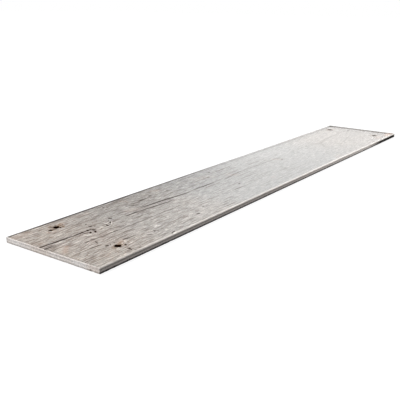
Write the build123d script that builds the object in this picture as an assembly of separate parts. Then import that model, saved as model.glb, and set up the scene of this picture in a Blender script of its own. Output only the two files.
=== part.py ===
from build123d import *
import os

# A wood-look porcelain floor tile in the long plank format, pressed and fired as one piece. Millimetres.
# The tile lies face up. The origin is at the middle of its back, +X runs along the grain towards the far end,
# +Y points to the left long edge and +Z comes out of the face.

# Format of the tile
length = 1200.0
width = 200.0
thickness = 9.5

# Ground edges: the light bevel round the face, the one round the back, and the dubbed upright corners
face_bevel = 0.8
back_bevel = 0.6
corner_bevel = 1.0

# Key pattern pressed into the back: square lugs with channels between them, inside a plain border
lug_side = 21.0
lug_height = 0.7
lug_draft = 30.0
channel_width = 4.0
least_border = 10.0

# Nail marks pressed into the face, two by each end; the one at the near right is from a square nail
nail_mark_radius = 4.6
square_nail_side = 9.0
square_nail_turn = 40.0
square_nail_corner_radius = 1.2
nail_mark_depth = 0.9
nail_mark_draft = 35.0
nail_inset_near = 76.5
nail_inset_far = 65.5
nail_inset_left = 28.5
nail_inset_right = 37.0


def drafted_block(size_x, size_y, height, draft):
    """A flat block on z = 0 whose four walls lean inwards by the draft angle as they rise."""
    return extrude(Rectangle(size_x, size_y), amount=height, taper=draft)


def tile_blank():
    """The plain tile: a slab with its upright corners dubbed and a bevel round the face and round the back."""
    slab = Box(length, width, thickness, align=(Align.CENTER, Align.CENTER, Align.MIN))
    slab = chamfer(slab.edges().filter_by(Axis.Z), corner_bevel)
    slab = chamfer(slab.faces().sort_by(Axis.Z)[-1].edges(), face_bevel)
    return chamfer(slab.faces().sort_by(Axis.Z)[0].edges(), back_bevel)


def lug_count(side_of_tile):
    """How many lugs fit across one side of the tile, with a channel on each side of every one."""
    field = side_of_tile - 2 * least_border
    return int((field - channel_width) // (lug_side + channel_width))


def channels():
    """The channels between the lugs, as two lists: those that run along the tile and those across it."""
    pitch = lug_side + channel_width
    count_x = lug_count(length)
    count_y = lug_count(width)
    along = drafted_block(count_x * pitch + channel_width, channel_width, lug_height, lug_draft)
    across = drafted_block(channel_width, count_y * pitch + channel_width, lug_height, lug_draft)
    long_ones = [place * along for place in GridLocations(pitch, pitch, 1, count_y + 1)]
    cross_ones = [place * across for place in GridLocations(pitch, pitch, count_x + 1, 1)]
    return long_ones, cross_ones


def nail_marks():
    """The four pits in the face, each a drafted plug that widens towards its mouth."""
    near_x = -length / 2 + nail_inset_near
    far_x = length / 2 - nail_inset_far
    left_y = width / 2 - nail_inset_left
    right_y = -width / 2 + nail_inset_right
    mouth = Circle(nail_mark_radius)
    square_mouth = Rectangle(square_nail_side, square_nail_side)
    square_mouth = fillet(square_mouth.vertices(), square_nail_corner_radius)
    round_pit = extrude(mouth, amount=-nail_mark_depth, taper=nail_mark_draft)
    square_pit = extrude(square_mouth, amount=-nail_mark_depth, taper=nail_mark_draft)
    places = [(near_x, left_y), (far_x, left_y), (far_x, right_y)]
    pits = [Pos(x, y, thickness) * round_pit for x, y in places]
    pits.append(Pos(near_x, right_y, thickness) * Rot(0, 0, square_nail_turn) * square_pit)
    return pits


def floor_tile():
    """The finished tile."""
    long_ones, cross_ones = channels()
    return tile_blank() - long_ones - cross_ones - nail_marks()


os.makedirs("parts", exist_ok=True)
export_step(floor_tile(), "parts/floor_tile.step")
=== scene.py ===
import math

import bpy
import numpy as np
from mathutils import Matrix, Vector


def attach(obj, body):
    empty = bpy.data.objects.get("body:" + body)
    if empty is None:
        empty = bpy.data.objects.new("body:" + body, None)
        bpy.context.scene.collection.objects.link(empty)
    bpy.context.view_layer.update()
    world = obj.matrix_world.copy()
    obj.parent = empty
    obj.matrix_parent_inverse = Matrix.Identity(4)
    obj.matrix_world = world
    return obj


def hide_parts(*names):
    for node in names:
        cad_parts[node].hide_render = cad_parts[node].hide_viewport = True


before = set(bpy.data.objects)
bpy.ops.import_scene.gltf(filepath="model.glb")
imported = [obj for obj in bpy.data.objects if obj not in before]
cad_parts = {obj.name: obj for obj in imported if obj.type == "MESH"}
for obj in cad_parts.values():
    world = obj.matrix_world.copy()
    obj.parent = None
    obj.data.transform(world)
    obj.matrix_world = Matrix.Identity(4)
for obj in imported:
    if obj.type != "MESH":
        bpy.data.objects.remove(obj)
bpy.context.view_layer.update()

# A wood-look porcelain tile, 1200 x 200 mm, lying face up on a studio floor.
# Shapes are worked out in millimetres and put into the mesh in metres.

mm = 0.001
scene = bpy.context.scene
scene.view_settings.view_transform = "Standard"


# Camera: where the photograph was taken from

camera = {
    "place": (-1.16466, -0.66589, 0.35568),
    "right": (0.58005, -0.81450, 0.01151),
    "up": (0.23683, 0.18215, 0.95432),
    "lens": 56.15,
    "nearest": 0.05,
    "furthest": 60.0,
}

cameraData = bpy.data.cameras.new("camera")
cameraData.lens = camera["lens"]
cameraData.clip_start = camera["nearest"]
cameraData.clip_end = camera["furthest"]
cameraObject = bpy.data.objects.new("camera", cameraData)
scene.collection.objects.link(cameraObject)
right = Vector(camera["right"]).normalized()
up = Vector(camera["up"]).normalized()
turn = Matrix((right, up, right.cross(up))).transposed()
cameraObject.matrix_world = Matrix.Translation(camera["place"]) @ turn.to_4x4()
scene.camera = cameraObject


# Helpers for shader nodes. They add to the node tree in working["tree"]. A value given to them is a number,
# a colour or a nodeValue, which is a node's output that can be added, subtracted and multiplied.

working = {"tree": None}


class nodeValue:
    def __init__(self, socket):
        self.socket = socket

    def __add__(self, other):
        return maths("ADD", self, other)

    def __sub__(self, other):
        return maths("SUBTRACT", self, other)

    def __rsub__(self, other):
        return maths("SUBTRACT", other, self)

    def __mul__(self, other):
        return maths("MULTIPLY", self, other)

    def __abs__(self):
        return maths("ABSOLUTE", self)

    __radd__ = __add__
    __rmul__ = __mul__


def put(socket, value):
    if isinstance(value, nodeValue):
        working["tree"].links.new(value.socket, socket)
    else:
        socket.default_value = value


def newNode(kind, *values, **settings):
    # a node with its settings, and the values on its first inputs
    node = working["tree"].nodes.new("ShaderNode" + kind)
    for name, setting in settings.items():
        setattr(node, name, setting)
    for socket, value in zip(node.inputs, values):
        put(socket, value)
    return node


def given(node, which=0):
    return nodeValue(node.outputs[which])


def maths(operation, *values):
    return given(newNode("Math", *values, operation=operation))


def larger(first, *others):
    for other in others:
        first = maths("MAXIMUM", first, other)
    return first


def spread(value, low, high, newLow=0.0, newHigh=1.0):
    # smooth step from newLow to newHigh as value goes from low to high
    return given(newNode("MapRange", value, low, high, newLow, newHigh, interpolation_type="SMOOTHSTEP"))


def faded(value, fades, *names):
    # the product of the named fades of the value
    share = spread(value, *fades[names[0]])
    for name in names[1:]:
        share = share * spread(value, *fades[name])
    return share


def paint(red, green, blue):
    # screen colour 0..255 to the linear colour that shaders work in
    def linear(c):
        c = c / 255
        return c / 12.92 if c <= 0.04045 else ((c + 0.055) / 1.055) ** 2.4
    return (linear(red), linear(green), linear(blue), 1.0)


def blend(colour, other, amount):
    # the colour with that share of the other laid over it
    node = newNode("Mix", amount, data_type="RGBA")
    put(node.inputs[6], colour)
    put(node.inputs[7], other)
    return given(node, 2)


def scaled(colour, amount):
    node = newNode("VectorMath", colour, operation="SCALE")
    put(node.inputs["Scale"], amount)
    return given(node)


def stretched(vector, scale, shift=(0.0, 0.0, 0.0)):
    node = newNode("Mapping", vector)
    put(node.inputs["Scale"], scale)
    put(node.inputs["Location"], shift)
    return given(node)


def cloud(vector, scale=1.0, detail=2.0, roughness=0.5):
    node = newNode("TexNoise", vector)
    put(node.inputs["Scale"], scale)
    put(node.inputs["Detail"], detail)
    put(node.inputs["Roughness"], roughness)
    return given(node)


def held(name, which="Fac"):
    # a value that the tile's mesh carries
    return given(newNode("Attribute", attribute_name=name), which)


def objectPlace():
    return given(newNode("TexCoord"), "Object")


def axesOf(vector):
    return [nodeValue(socket) for socket in newNode("SeparateXYZ", vector).outputs]


def startNodes(owner):
    owner.use_nodes = True
    owner.node_tree.nodes.clear()
    working["tree"] = owner.node_tree


def newMaterial(name):
    material = bpy.data.materials.new(name)
    startNodes(material)
    return material


def show(shader, kind="OutputMaterial"):
    output = newNode(kind)
    put(output.inputs["Surface"], given(shader))


def coat(colour, roughness, form, height):
    # the finish's one shader: colour, roughness, gloss and bump
    bump = newNode("Bump")
    bump.inputs["Strength"].default_value = form["bumpStrength"]
    bump.inputs["Distance"].default_value = form["bumpDistance"]
    put(bump.inputs["Height"], height)
    shader = newNode("BsdfPrincipled")
    put(shader.inputs["Base Color"], colour)
    put(shader.inputs["Roughness"], roughness)
    shader.inputs["Specular IOR Level"].default_value = form["specular"]
    put(shader.inputs["Normal"], given(bump))
    show(shader)


# Studio: a floor, a soft surround and five softboxes

studio = {
    "floorSize": 40.0,
    "floorDrop": 0.0001,
    "floorGrey": paint(118, 118, 120),  # what the floor throws back on the tile
    "floorWhite": paint(250, 250, 250),
    "floorGlow": 0.78,  # share of the seen floor by the tile that is plain white, the rest takes the shadow
    "floorGlowStrength": 1.12,
    "shadowReach": (0.10, 0.45),  # how far from the tile the floor's shadow fades out
    "tileHalf": (0.6, 0.1),  # half the tile's length and width
    "openInset": 0.003,  # this far inside the tile's outline the floor starts to let light through
    "surround": 0.35,
    "coveTop": (0.10, 0.32),  # for gloss: white below the first height, ceilingGrey above the second
    "ceilingGrey": 0.08,
    "unmirrored": ("overheadSoftbox", "sideSoftbox", "underSoftbox"),  # lamps that gloss does not show
    "softboxes": {
        # name: place, aim, width, height, watts
        "endSoftbox": ((-2.45, 0.75, 0.60), (-0.6, 0.0, 0.0), 1.0, 0.8, 33.0),
        "overheadSoftbox": ((0.15, 1.20, 1.90), (0.05, 0.1, 0.0), 2.2, 1.2, 49.0),
        "backdropSoftbox": ((2.45, 1.00, 0.60), (0.3, 0.0, 0.0), 2.0, 1.1, 18.5),
        "sideSoftbox": ((1.30, -1.00, 0.22), (0.4, -0.1, 0.0), 0.6, 0.4, 11.0),
        "underSoftbox": ((-1.40, 0.90, -0.80), (0.0, 0.0, 0.0), 1.2, 0.8, 24.0),
    },
}


def seesWhite():
    # 1 for rays of the camera, of gloss and of glass
    path = newNode("LightPath")
    return larger(*[given(path, ray) for ray in ("Is Camera Ray", "Is Glossy Ray", "Is Transmission Ray")])


def makeFloor():
    half = studio["floorSize"] / 2
    low = -studio["floorDrop"]
    mesh = bpy.data.meshes.new("studioFloor")
    corners = [(-half, -half, low), (half, -half, low), (half, half, low), (-half, half, low)]
    mesh.from_pydata(corners, [], [(0, 1, 2, 3)])
    floor = bpy.data.objects.new("studioFloor", mesh)
    scene.collection.objects.link(floor)

    mesh.materials.append(newMaterial("studioFloorWhite"))
    grey = newNode("BsdfDiffuse", studio["floorGrey"])
    white = newNode("BsdfDiffuse", studio["floorWhite"])
    glow = newNode("Emission")
    glow.inputs["Strength"].default_value = studio["floorGlowStrength"]
    # distance from the tile's outline: length of (max(|x| - half, 0), max(|y| - half, 0))
    squares = 0.0
    under = 1.0
    for value, tileHalf in zip(axesOf(objectPlace()), studio["tileHalf"]):
        beyond = larger(abs(value) - tileHalf, 0.0)
        squares = beyond * beyond + squares
        under = maths("LESS_THAN", abs(value), tileHalf - studio["openInset"]) * under
    share = spread(maths("SQRT", squares), *studio["shadowReach"], studio["floorGlow"], 1.0)
    seen = newNode("MixShader", share, given(white), given(glow))
    either = newNode("MixShader", seesWhite(), given(grey), given(seen))
    # the floor is open from below and right under the tile, so that its back is lit and can be seen
    fromBelow = given(newNode("NewGeometry"), "Backfacing")
    clear = newNode("BsdfTransparent")
    show(newNode("MixShader", larger(fromBelow, under), given(either), given(clear)))


def makeLight():
    world = bpy.data.worlds.new("studioSurround")
    scene.world = world
    startNodes(world)
    soft = newNode("Background")
    soft.inputs["Strength"].default_value = studio["surround"]
    upward = axesOf(given(newNode("TexCoord"), "Generated"))[2]
    cove = spread(upward, *studio["coveTop"], 1.0, studio["ceilingGrey"])
    isCamera = given(newNode("LightPath"), "Is Camera Ray")
    white = newNode("Background", (1.0, 1.0, 1.0, 1.0), larger(cove, isCamera))
    show(newNode("MixShader", seesWhite(), given(soft), given(white)), "OutputWorld")

    for name, (place, aim, width, height, watts) in studio["softboxes"].items():
        lamp = bpy.data.lights.new(name, "AREA")
        lamp.shape = "RECTANGLE"
        lamp.size = width
        lamp.size_y = height
        lamp.energy = watts
        lampObject = bpy.data.objects.new(name, lamp)
        lampObject.location = place
        away = Vector(place) - Vector(aim)
        lampObject.rotation_mode = "QUATERNION"
        lampObject.rotation_quaternion = away.to_track_quat("Z", "Y")
        lampObject.visible_camera = False
        lampObject.visible_glossy = name not in studio["unmirrored"]
        scene.collection.objects.link(lampObject)


makeFloor()
makeLight()
print("studio: floor, surround and", len(studio["softboxes"]), "softboxes")


# The tile's form. Heights and depths of the face are measured down from 9.5 mm, so nothing stands above it.

tile = {
    "length": 1200.0,
    "width": 200.0,
    "thickness": 9.5,
    "faceInset": 0.8,
    "cornerRound": 1.4,
    "cornerLines": (0.0, 0.45, 0.9, 1.5),
    "nearStep": 1.9,  # spacing of the mesh along the grain, in the near quarter
    "farStep": 4.4,  # and in the rest
    "acrossStep": 1.25,
    "nearZone": -285.0,
    "crackLines": (20.6, 31.0),  # places across with closer mesh lines, for the long cracks
    "crackOffsets": (0.0, 0.6, 1.2, 1.9),
    # the edge from the face down to the back: inset, height, share of the face's relief it still follows
    "edgeProfile": (
        (0.50, 9.37, 0.90),
        (0.20, 9.10, 0.60),
        (0.00, 8.66, 0.20),
        (0.00, 6.90, 0.00),
        (0.00, 4.70, 0.00),
        (0.00, 2.50, 0.00),
        (0.00, 0.78, 0.00),
        (0.17, 0.30, 0.00),
        (0.60, 0.00, 0.00),
    ),
    "sharpAngle": 38.0,
    "freeRim": 9.0,  # this far in from the rim the mesh lines follow the grain
    "freeMark": (11.0, 26.0),  # as they do this far from a nail mark
    # small chips at the face's and the back's arris: depth, noise, where in it a chip starts and is full
    "topChips": (0.55, (7.0, 5.0, 31), (0.45, 0.95)),
    "lowChips": (0.60, (9.0, 6.0, 32), (0.40, 0.95)),
    "wearReach": 3.0,
    "lowChip": (-86.0, 1.5, 1.5),  # near end: place across, half width, depth
}

# Nail marks: x, y, outline. The rings are the mesh lines round each mark.
nails = {
    "near left": (-523.5, 71.5, "round"),
    "near right": (-523.5, -63.0, "square"),
    "far left": (534.5, 71.5, "round"),
    "far right": (534.5, -63.0, "round"),
}
nailForm = {
    "edge": 4.6,
    "floor": 3.97,
    "depth": 0.9,
    "squareHalf": 4.5,
    "squareTurn": 40.0,
    "squarePower": 8.5,
    "rings": (0.0, 1.5, 2.9, 3.97, 4.6, 5.5, 6.8, 8.4, 10.4, 12.8, 15.5),
    "rounded": 5.5,  # rings up to here follow the outline, those beyond turn back into squares
}

# Back: lugs between channels
backForm = {
    "inset": 1.6,
    "border": 10.5,
    "pitch": 25.0,
    "channel": 4.0,
    "depth": 0.7,
    "foot": 1.596,  # half width of a channel at its floor
    "easing": 2.28,  # half width where the lug's arris starts
    "sag": 0.05,
    "sagNoise": (60.0, 45.0, 41),  # cells along and across, seed
    "sagFrom": (2.0, 12.0),  # in from the rim
    "arris": (0.05, 0.08),  # just inside a wall's top: how far in, share of the depth there
}

# Grain: how far its lines wander across the tile
grainForm = {
    "fallFrom": -430.0,
    "fallTo": -225.0,
    "fall": -9.5,
    "riseFrom": -120.0,
    "riseTo": 420.0,
    "rise": 4.5,
    "middle": 24.0,
    "reach": 34.0,
    "waveHeight": 3.2,
    "waveLength": 430.0,
    "waveAcross": 62.0,
    "knotSpread": 0.58,
    "knotReach": (2.6, 1.7),  # how far a knot spreads the grain, in its half lengths and half widths
    "knotFade": (1.0, 1.7),  # in a knot's own radii
}

# Knots: x, y, half length along the grain, half width across it, strength
knots = {
    "knot on the crack": (-507.0, 13.0, 14.5, 9.0, 1.0),
    "oval knot": (-351.0, 56.0, 15.0, 10.0, 0.25),
    "pin knot": (-326.0, -71.0, 5.5, 4.0, 0.9),
    "pale knot": (-453.0, -70.0, 9.0, 7.0, 0.7),
    "arched knot": (-530.0, -27.0, 8.0, 13.0, 0.5),
    "small knot": (-252.0, 60.0, 5.0, 3.6, 0.7),
    "low knot": (-288.0, -55.0, 5.0, 3.6, 0.7),
    "mid knot": (-119.0, -25.0, 7.0, 4.2, 0.8),
    "pink knot": (114.0, 14.0, 16.0, 11.0, 0.6),
    "far knot": (322.0, 14.0, 15.0, 8.0, 0.6),
}

# Cracks and dark grain lines: half width, then x, y and strength along each
cracks = {
    "end crack": (0.72, ((-600, 23.6, 0.8), (-586, 23.4, 0.7), (-575, 22.6, 1), (-550, 21.2, 1),
                         (-534, 20.2, 0.6), (-524, 20.4, 1), (-512, 20.6, 0.7), (-500, 20.4, 0.8),
                         (-494, 20.2, 0))),
    "end split": (0.75, ((-600, 12.9, 1), (-588, 13.1, 0.9), (-576, 13, 0))),
    "second crack": (0.75, ((-414, 20.6, 0), (-408, 20.4, 0.8), (-388, 20.2, 0.95), (-380, 19.4, 0.5),
                            (-368, 18, 0.8), (-344, 16, 0.85), (-320, 13.8, 0.8), (-306, 12.5, 0.8),
                            (-290, 12.2, 0))),
    "third crack": (0.85, ((-368, 30.4, 0), (-356, 29.8, 0.7), (-330, 27.6, 0.9), (-300, 26, 0.9),
                           (-280, 23.6, 0.95), (-258, 21.2, 0.75), (-236, 19.2, 0.6), (-222, 19.2, 0))),
    "fourth crack": (0.85, ((-214, 22, 0), (-204, 21.8, 0.5), (-182, 21, 0.7), (-160, 20.4, 0.55),
                            (-140, 21.2, 0))),
    "fading crack": (0.70, ((-118, 18.2, 0), (-100, 18, 0.45), (-82, 19, 0.4), (-60, 22.6, 0.25),
                            (-20, 23.6, 0.3), (60, 22.2, 0.25), (110, 21, 0.2), (150, 20, 0))),
    "centre line": (0.55, ((-560, -14.6, 0), (-544, -15, 0.35), (-512, -15.6, 0.45), (-476, -16.2, 0.85),
                           (-466, -16.4, 0.3), (-430, -16.6, 0.4), (-400, -17, 0.45), (-340, -17.2, 0.4),
                           (-300, -17.8, 0))),
    "left line": (0.60, ((-480, 58.4, 0), (-460, 58.2, 0.15), (-400, 57.6, 0.15), (-376, 58, 0))),
    "left dash": (0.80, ((-340, 57.6, 0), (-331, 58, 0.8), (-320, 58.6, 0.7), (-305, 58.8, 0.3),
                         (-296, 59, 0))),
    "right dash": (0.60, ((-560, -38.6, 0), (-552, -38.6, 0.75), (-540, -39, 0.6), (-530, -39.2, 0))),
    "low dash": (0.65, ((-504, -51, 0), (-496, -51.4, 0.6), (-480, -54, 0.4), (-470, -55, 0))),
    "short dash": (0.60, ((-466, -5.6, 0), (-460, -6.4, 0.6), (-446, -9, 0.5), (-440, -9.6, 0))),
}

latticeSize = (113, 97)
latticeShift = 40.0  # cells, so that the whole tile lies in the lattice's positive part
farAway = 60.0  # millimetres, carried where no knot or nail mark is near
furthestOffset = 12.0  # half widths, carried where no crack is near


def smoothNoise(x, y, cellX, cellY, seed):
    # random heights on a lattice of cells, joined by s = f*f*(3 - 2f) along both sides of each cell
    lattice = np.random.default_rng(seed).uniform(-1.0, 1.0, latticeSize)
    u = x / cellX + latticeShift
    v = y / cellY + latticeShift
    i = np.floor(u).astype(int)
    j = np.floor(v).astype(int)
    s = (u - i) ** 2 * (3 - 2 * (u - i))
    t = (v - j) ** 2 * (3 - 2 * (v - j))

    def corner(a, b):
        return lattice[(i + a) % latticeSize[0], (j + b) % latticeSize[1]]

    low = corner(0, 0) * (1 - s) + corner(1, 0) * s
    high = corner(0, 1) * (1 - s) + corner(1, 1) * s
    return low * (1 - t) + high * t


def step(value, low, high):
    # smooth step: 0 below low, 1 above high, f*f*(3 - 2f) between
    f = np.clip((value - low) / (high - low), 0.0, 1.0)
    return f * f * (3 - 2 * f)


def filledLines(fixed, nearStep, farStep):
    # the fixed places in order, every gap cut into even steps: about nearStep up to nearZone, then farStep
    fixed = np.unique(np.round(fixed, 4))
    parts = []
    for low, high in zip(fixed[:-1], fixed[1:]):
        widest = nearStep if (low + high) / 2 < tile["nearZone"] else farStep
        count = max(1, math.ceil((high - low) / widest - 0.25))
        parts.append(np.linspace(low, high, count + 1)[:-1])
    return np.concatenate(parts + [fixed[-1:]])


def cornerPulled(x, y, halfX, halfY, radius):
    # in each corner square a point goes to the circle whose radius is the larger of its two offsets from the
    # square's inner corner
    u = np.abs(x) - (halfX - radius)
    v = np.abs(y) - (halfY - radius)
    inCorner = (u > 0) & (v > 0)
    shrink = np.maximum(u, v) / np.maximum(np.hypot(u, v), 1e-9)
    newX = np.where(inCorner, np.sign(x) * (halfX - radius + u * shrink), x)
    newY = np.where(inCorner, np.sign(y) * (halfY - radius + v * shrink), y)
    return newX, newY


def nailOutline(angle, outline):
    # reach of a mark from its middle: a circle, or the turned square |cos|^p + |sin|^p = (half/r)^p
    if outline == "round":
        return np.full_like(angle, nailForm["edge"])
    turned = angle - math.radians(nailForm["squareTurn"])
    power = nailForm["squarePower"]
    total = np.abs(np.cos(turned)) ** power + np.abs(np.sin(turned)) ** power
    return nailForm["squareHalf"] / total ** (1 / power)


def nailPulled(x, y):
    # round each nail mark the square ring m from its middle goes to its outline times m/edge, fading out to
    # the last ring
    last = nailForm["rings"][-1]
    for middleX, middleY, outline in nails.values():
        u = x - middleX
        v = y - middleY
        ring = np.maximum(np.abs(u), np.abs(v))
        away = np.maximum(np.hypot(u, v), 1e-9)
        wanted = nailOutline(np.arctan2(v, u), outline) * ring / nailForm["edge"]
        share = 1 - step(ring, nailForm["rounded"], last)
        grow = np.where(ring < last, share * (wanted / away - 1), 0.0)
        x = x + u * grow
        y = y + v * grow
    return x, y


def nailEdge(x, y):
    # distance from the nearest nail mark's edge, below zero inside it
    nearest = np.full_like(x, farAway)
    for middleX, middleY, outline in nails.values():
        u = x - middleX
        v = y - middleY
        away = np.hypot(u, v)
        nearest = np.minimum(nearest, away - nailOutline(np.arctan2(v, u), outline))
    return nearest


def grainShift(x, y):
    # how far the grain lines have moved across: one long fall, a slow rise and a low wave
    near = np.exp(-((y - grainForm["middle"]) / grainForm["reach"]) ** 2)
    fall = grainForm["fall"] * step(x, grainForm["fallFrom"], grainForm["fallTo"])
    rise = grainForm["rise"] * step(x, grainForm["riseFrom"], grainForm["riseTo"])
    wave = smoothNoise(x, y, grainForm["waveLength"] / 2, grainForm["waveAcross"], 5)
    return near * (fall + rise) + grainForm["waveHeight"] * wave


def knotFields(x, y):
    # for each knot r = length of ((x - a)/halfLength, (y - b)/halfWidth). ring is r in millimetres of the
    # nearest knot, hold its strength, gone by knotFade, and push spreads the grain round all of them
    ring = np.full_like(x, farAway)
    hold = np.zeros_like(x)
    push = np.zeros_like(x)
    nearest = np.full_like(x, 1e9)
    reachLong, reachWide = grainForm["knotReach"]
    for middleX, middleY, halfLength, halfWidth, strength in knots.values():
        u = (x - middleX) / halfLength
        v = (y - middleY) / halfWidth
        r = np.hypot(u, v)
        closer = r < nearest
        nearest = np.where(closer, r, nearest)
        ring = np.where(closer, r * (halfLength + halfWidth) / 2, ring)
        hold = np.maximum(hold, strength * (1 - step(r, *grainForm["knotFade"])))
        pushHold = np.exp(-(u / reachLong) ** 2 - (v / reachWide) ** 2)
        push += grainForm["knotSpread"] * (y - middleY) * pushHold
    return ring, hold, push


def crackFields(x, y):
    # offset is the signed distance from the nearest crack in its half widths, hold that crack's strength
    # there, groove its depth as a share: hold * exp(-(offset/1.5)^2)
    offset = np.full_like(x, furthestOffset)
    hold = np.zeros_like(x)
    best = np.full_like(x, -1e9)
    groove = np.zeros_like(x)
    for halfWidth, stops in cracks.values():
        along, across, strength = np.array(stops, dtype=float).T
        middle = np.interp(x, along, across)
        slope = (np.interp(x + 1, along, across) - np.interp(x - 1, along, across)) / 2
        local = np.interp(x, along, strength, left=0.0, right=0.0)
        distance = (y - middle) / np.sqrt(1 + slope * slope) / halfWidth
        score = np.log(local + 1e-6) - distance * distance / 8
        better = score > best
        best = np.where(better, score, best)
        offset = np.where(better, np.clip(distance, -furthestOffset, furthestOffset), offset)
        hold = np.where(better, local, hold)
        groove = np.maximum(groove, local * np.exp(-(distance / 1.5) ** 2))
    return offset, hold, groove


# Relief of the face, and the cells along and across and the seed of its noises
faceForm = {
    "hollows": 0.10,  # depth of the wide hollows
    "valleys": 0.09,  # depth of the soft grain between the hard lines
    "ridges": 0.05,
    "crackDepth": 0.45,
    "knotDish": 0.16,
    "knotRings": 0.08,
    "ringPitch": 2.6,
    "dents": 60,
    "dentDepth": 0.22,
    "dentPlaces": (590.0, 92.0),
    "dentLong": (3.0, 9.0),
    "dentShort": (1.6, 3.0),
    "dentShare": (0.3, 1.0),
    "hollowNoise": (130.0, 22.0, 11),
    "softNoise": (150.0, 5.2, 12),
    "softerNoise": (70.0, 2.7, 13),
    "wornNoise": (180.0, 40.0, 14),
    "ridgeNoise": (45.0, 1.9, 15),
    "valleyFrom": (-0.15, 0.75),  # where in its noise the soft grain starts to sink and is deepest
    "wornFrom": (-0.7, 0.6),
    "wornLeast": 0.35,
    "ridgeFrom": (0.0, 0.9),
    "dishReach": 6.0,
    "knotCalm": 0.6,  # share of the relief that a knot takes away
    "lipCalm": 0.7,  # and the lip of a nail mark
    "lipDepth": 0.10,  # round the nail marks the face lies this deep
    "lipReach": 2.2,
}


def faceDepth(x, y, grain, ring, hold, groove, edge):
    # all downwards: hollows + valleys of soft grain + ridges + ringed knots + cracks + dents, then the nail
    # marks with the plain lip round each
    hollows = faceForm["hollows"] * (0.5 + 0.5 * smoothNoise(x, grain, *faceForm["hollowNoise"]))
    soft = 0.6 * smoothNoise(x, grain, *faceForm["softNoise"])
    soft = soft + 0.4 * smoothNoise(x, grain, *faceForm["softerNoise"])
    worn = step(smoothNoise(x, y, *faceForm["wornNoise"]), *faceForm["wornFrom"])
    worn = faceForm["wornLeast"] + (1 - faceForm["wornLeast"]) * worn
    valleys = faceForm["valleys"] * step(soft, *faceForm["valleyFrom"]) * worn
    ridges = step(smoothNoise(x, grain, *faceForm["ridgeNoise"]), *faceForm["ridgeFrom"])
    depth = hollows + valleys + faceForm["ridges"] * ridges
    rings = 0.5 + 0.5 * np.cos(2 * np.pi * ring / faceForm["ringPitch"])
    dish = faceForm["knotDish"] * np.exp(-(ring / faceForm["dishReach"]) ** 2) + faceForm["knotRings"] * rings
    depth = depth * (1 - faceForm["knotCalm"] * hold) + hold * dish + faceForm["crackDepth"] * groove
    rng = np.random.default_rng(21)
    for _ in range(faceForm["dents"]):
        middleX, middleY = [rng.uniform(-furthest, furthest) for furthest in faceForm["dentPlaces"]]
        longHalf, shortHalf = rng.uniform(*faceForm["dentLong"]), rng.uniform(*faceForm["dentShort"])
        deep = faceForm["dentDepth"] * rng.uniform(*faceForm["dentShare"])
        depth += deep * np.exp(-((x - middleX) / longHalf) ** 2 - ((y - middleY) / shortHalf) ** 2)
    wall = nailForm["edge"] - nailForm["floor"]
    inside = 1 - np.clip((edge + wall) / wall, 0, 1)
    lip = np.exp(-(np.maximum(edge, 0) / faceForm["lipReach"]) ** 2)
    depth = depth * (1 - faceForm["lipCalm"] * lip) + faceForm["lipDepth"] * lip
    return depth + inside * (nailForm["depth"] - faceForm["lipDepth"])


def mirrored(offsets):
    return sorted({-v for v in offsets} | set(offsets))


def faceLines():
    half = tile["length"] / 2 - tile["faceInset"]
    across = tile["width"] / 2 - tile["faceInset"]
    nailAlong = sorted({spot[0] for spot in nails.values()})
    nailAcross = sorted({spot[1] for spot in nails.values()})
    rings = mirrored(nailForm["rings"])
    alongFixed = [sign * (half - c) for sign in (-1, 1) for c in tile["cornerLines"]]
    alongFixed += [spot + ring for spot in nailAlong for ring in rings] + [tile["nearZone"]]
    acrossFixed = [sign * (across - c) for sign in (-1, 1) for c in tile["cornerLines"]]
    acrossFixed += [spot + ring for spot in nailAcross for ring in rings]
    acrossFixed += [spot + offset for spot in tile["crackLines"] for offset in mirrored(tile["crackOffsets"])]
    along = filledLines(alongFixed, tile["nearStep"], tile["farStep"])
    return along, filledLines(acrossFixed, tile["acrossStep"], tile["acrossStep"])


def ringOf(alongCount, acrossCount):
    # the rim of a grid as two index lists, anticlockwise from its first corner
    i = np.concatenate((np.arange(alongCount - 1), np.full(acrossCount - 1, alongCount - 1),
                        np.arange(alongCount - 1, 0, -1), np.zeros(acrossCount - 1, int)))
    j = np.concatenate((np.zeros(alongCount - 1, int), np.arange(acrossCount - 1),
                        np.full(alongCount - 1, acrossCount - 1), np.arange(acrossCount - 1, 0, -1)))
    return i, j


def ringPlace(along, across, i, j):
    # how far round the rim each of its points is, one unit for each side
    u = (along[i] - along[0]) / (along[-1] - along[0])
    v = (across[j] - across[0]) / (across[-1] - across[0])
    last, top = len(along) - 1, len(across) - 1
    return np.select([(j == 0) & (i < last), (i == last) & (j < top), (j == top) & (i > 0)],
                     [u, 1 + v, 3 - u], 4 - v)


def gridQuads(alongCount, acrossCount, start, upward):
    # each cell of a grid as a quad, seen anticlockwise from above if upward, otherwise from below
    i, j = np.meshgrid(np.arange(alongCount - 1), np.arange(acrossCount - 1), indexing="ij")
    first = start + (i * acrossCount + j).ravel()
    nextAlong, nextAcross = first + acrossCount, first + 1
    order = (first, nextAlong, nextAlong + 1, nextAcross)
    return np.stack(order if upward else order[:1] + order[:0:-1], axis=1)


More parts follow.
